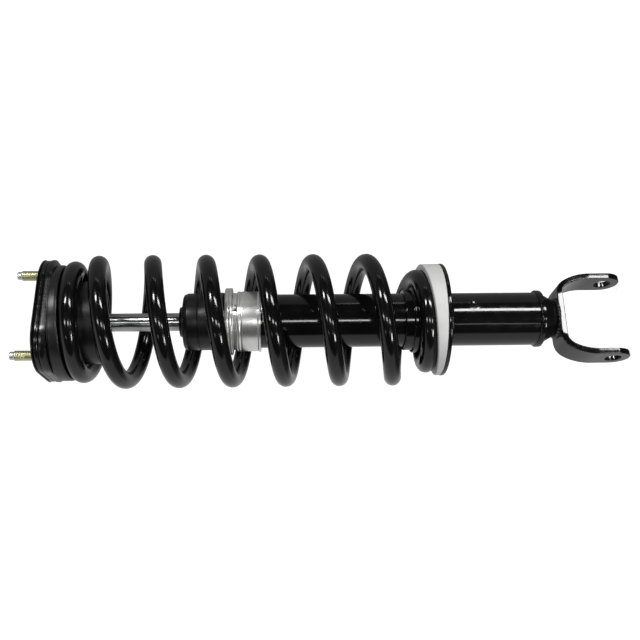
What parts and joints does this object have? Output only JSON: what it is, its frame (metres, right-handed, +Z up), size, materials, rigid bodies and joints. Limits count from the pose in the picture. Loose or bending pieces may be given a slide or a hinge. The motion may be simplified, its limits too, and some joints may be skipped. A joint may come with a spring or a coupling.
{
  "type": "suspension strut",
  "caption": "Coil-over twin-tube damper with a triangular three-stud upper mount, jounce bumper, spring seat and a lower clevis for a cross bolt.",
  "frame": {"origin": "middle of the lower bolt's axis, halfway between the clevis ears", "axes": "+Z up the damper's axis to the upper mount, +X along the lower bolt"},
  "size_m": [0.1318, 0.1323, 0.6038],
  "materials": {
    "gloss_black_paint": "gloss black enamel",
    "spring_powder_coat": "gloss black powder coat",
    "grey_isolator": "light grey moulded rubber",
    "bare_steel": "machined",
    "sintered_iron": "sintered",
    "bronze": "lined bearing bronze",
    "black_rubber": "moulded",
    "zinc_plate": "bright zinc plate",
    "bumper_foam": "satin microcellular urethane",
    "chrome_rod": "hard chrome, polished",
    "low_friction_plastic": "filled PTFE",
    "yellow_zinc": "yellow passivated zinc"
  },
  "bodies": {
    "damper_body": {"clevis_yoke": "gloss_black_paint", "base_cup": "gloss_black_paint", "body_tube": "gloss_black_paint", "lower_spring_seat": "gloss_black_paint", "lower_spring_isolator": "grey_isolator", "coil_spring": "spring_powder_coat", "pressure_tube": "bare_steel", "foot_valve_body": "sintered_iron", "foot_valve_bolt": "bare_steel", "foot_valve_shim_1": "bare_steel", "foot_valve_shim_2": "bare_steel", "foot_valve_shim_3": "bare_steel", "foot_valve_stop_plate": "bare_steel", "rod_guide": "sintered_iron", "guide_bushing": "bronze", "rod_seal": "black_rubber", "seal_cover": "bare_steel", "strike_cap": "zinc_plate", "strike_ring": "zinc_plate"},
    "rod_assembly": {"piston_rod": "chrome_rod", "piston": "sintered_iron", "piston_band": "low_friction_plastic", "piston_shim_1": "bare_steel", "piston_shim_2": "bare_steel", "piston_shim_3": "bare_steel", "piston_stop_plate": "bare_steel", "piston_nut": "bare_steel", "rebound_stop_ring": "bare_steel", "rebound_cushion": "black_rubber", "bumper_cup": "bare_steel", "mount_upper_plate": "gloss_black_paint", "mount_cushion": "black_rubber", "mount_lower_plate": "gloss_black_paint", "mount_inner_sleeve": "bare_steel", "mount_bush_rubber": "black_rubber", "mount_stud_1": "yellow_zinc", "mount_stud_2": "yellow_zinc", "mount_stud_3": "yellow_zinc", "upper_spring_isolator": "black_rubber", "top_washer": "bare_steel", "rod_nut": "bare_steel"},
    "bumper": {"jounce_bumper": "bumper_foam"},
    "foot_check": {"foot_check_disc": "bare_steel"},
    "piston_check": {"piston_check_disc": "bare_steel"}
  },
  "joints": [
    {"name": "damper_stroke", "type": "slide", "parent": "damper_body", "child": "rod_assembly", "axis": [0, 0, 1], "range_m": [-0.125, 0], "stiffness_N_per_m": 60000, "springref_m": 0.0667, "deforming": ["coil_spring", "jounce_bumper"]},
    {"name": "bumper_slide", "type": "slide", "parent": "damper_body", "child": "bumper", "axis": [0, 0, 1], "range_m": [0, 0.109]},
    {"name": "foot_check_lift", "type": "slide", "parent": "damper_body", "child": "foot_check", "axis": [0, 0, 1], "range_m": [0, 0.001], "stiffness_N_per_m": 400, "springref_m": -0.002},
    {"name": "piston_check_lift", "type": "slide", "parent": "rod_assembly", "child": "piston_check", "axis": [0, 0, 1], "range_m": [0, 0.001], "stiffness_N_per_m": 400, "springref_m": -0.002}
  ]
}
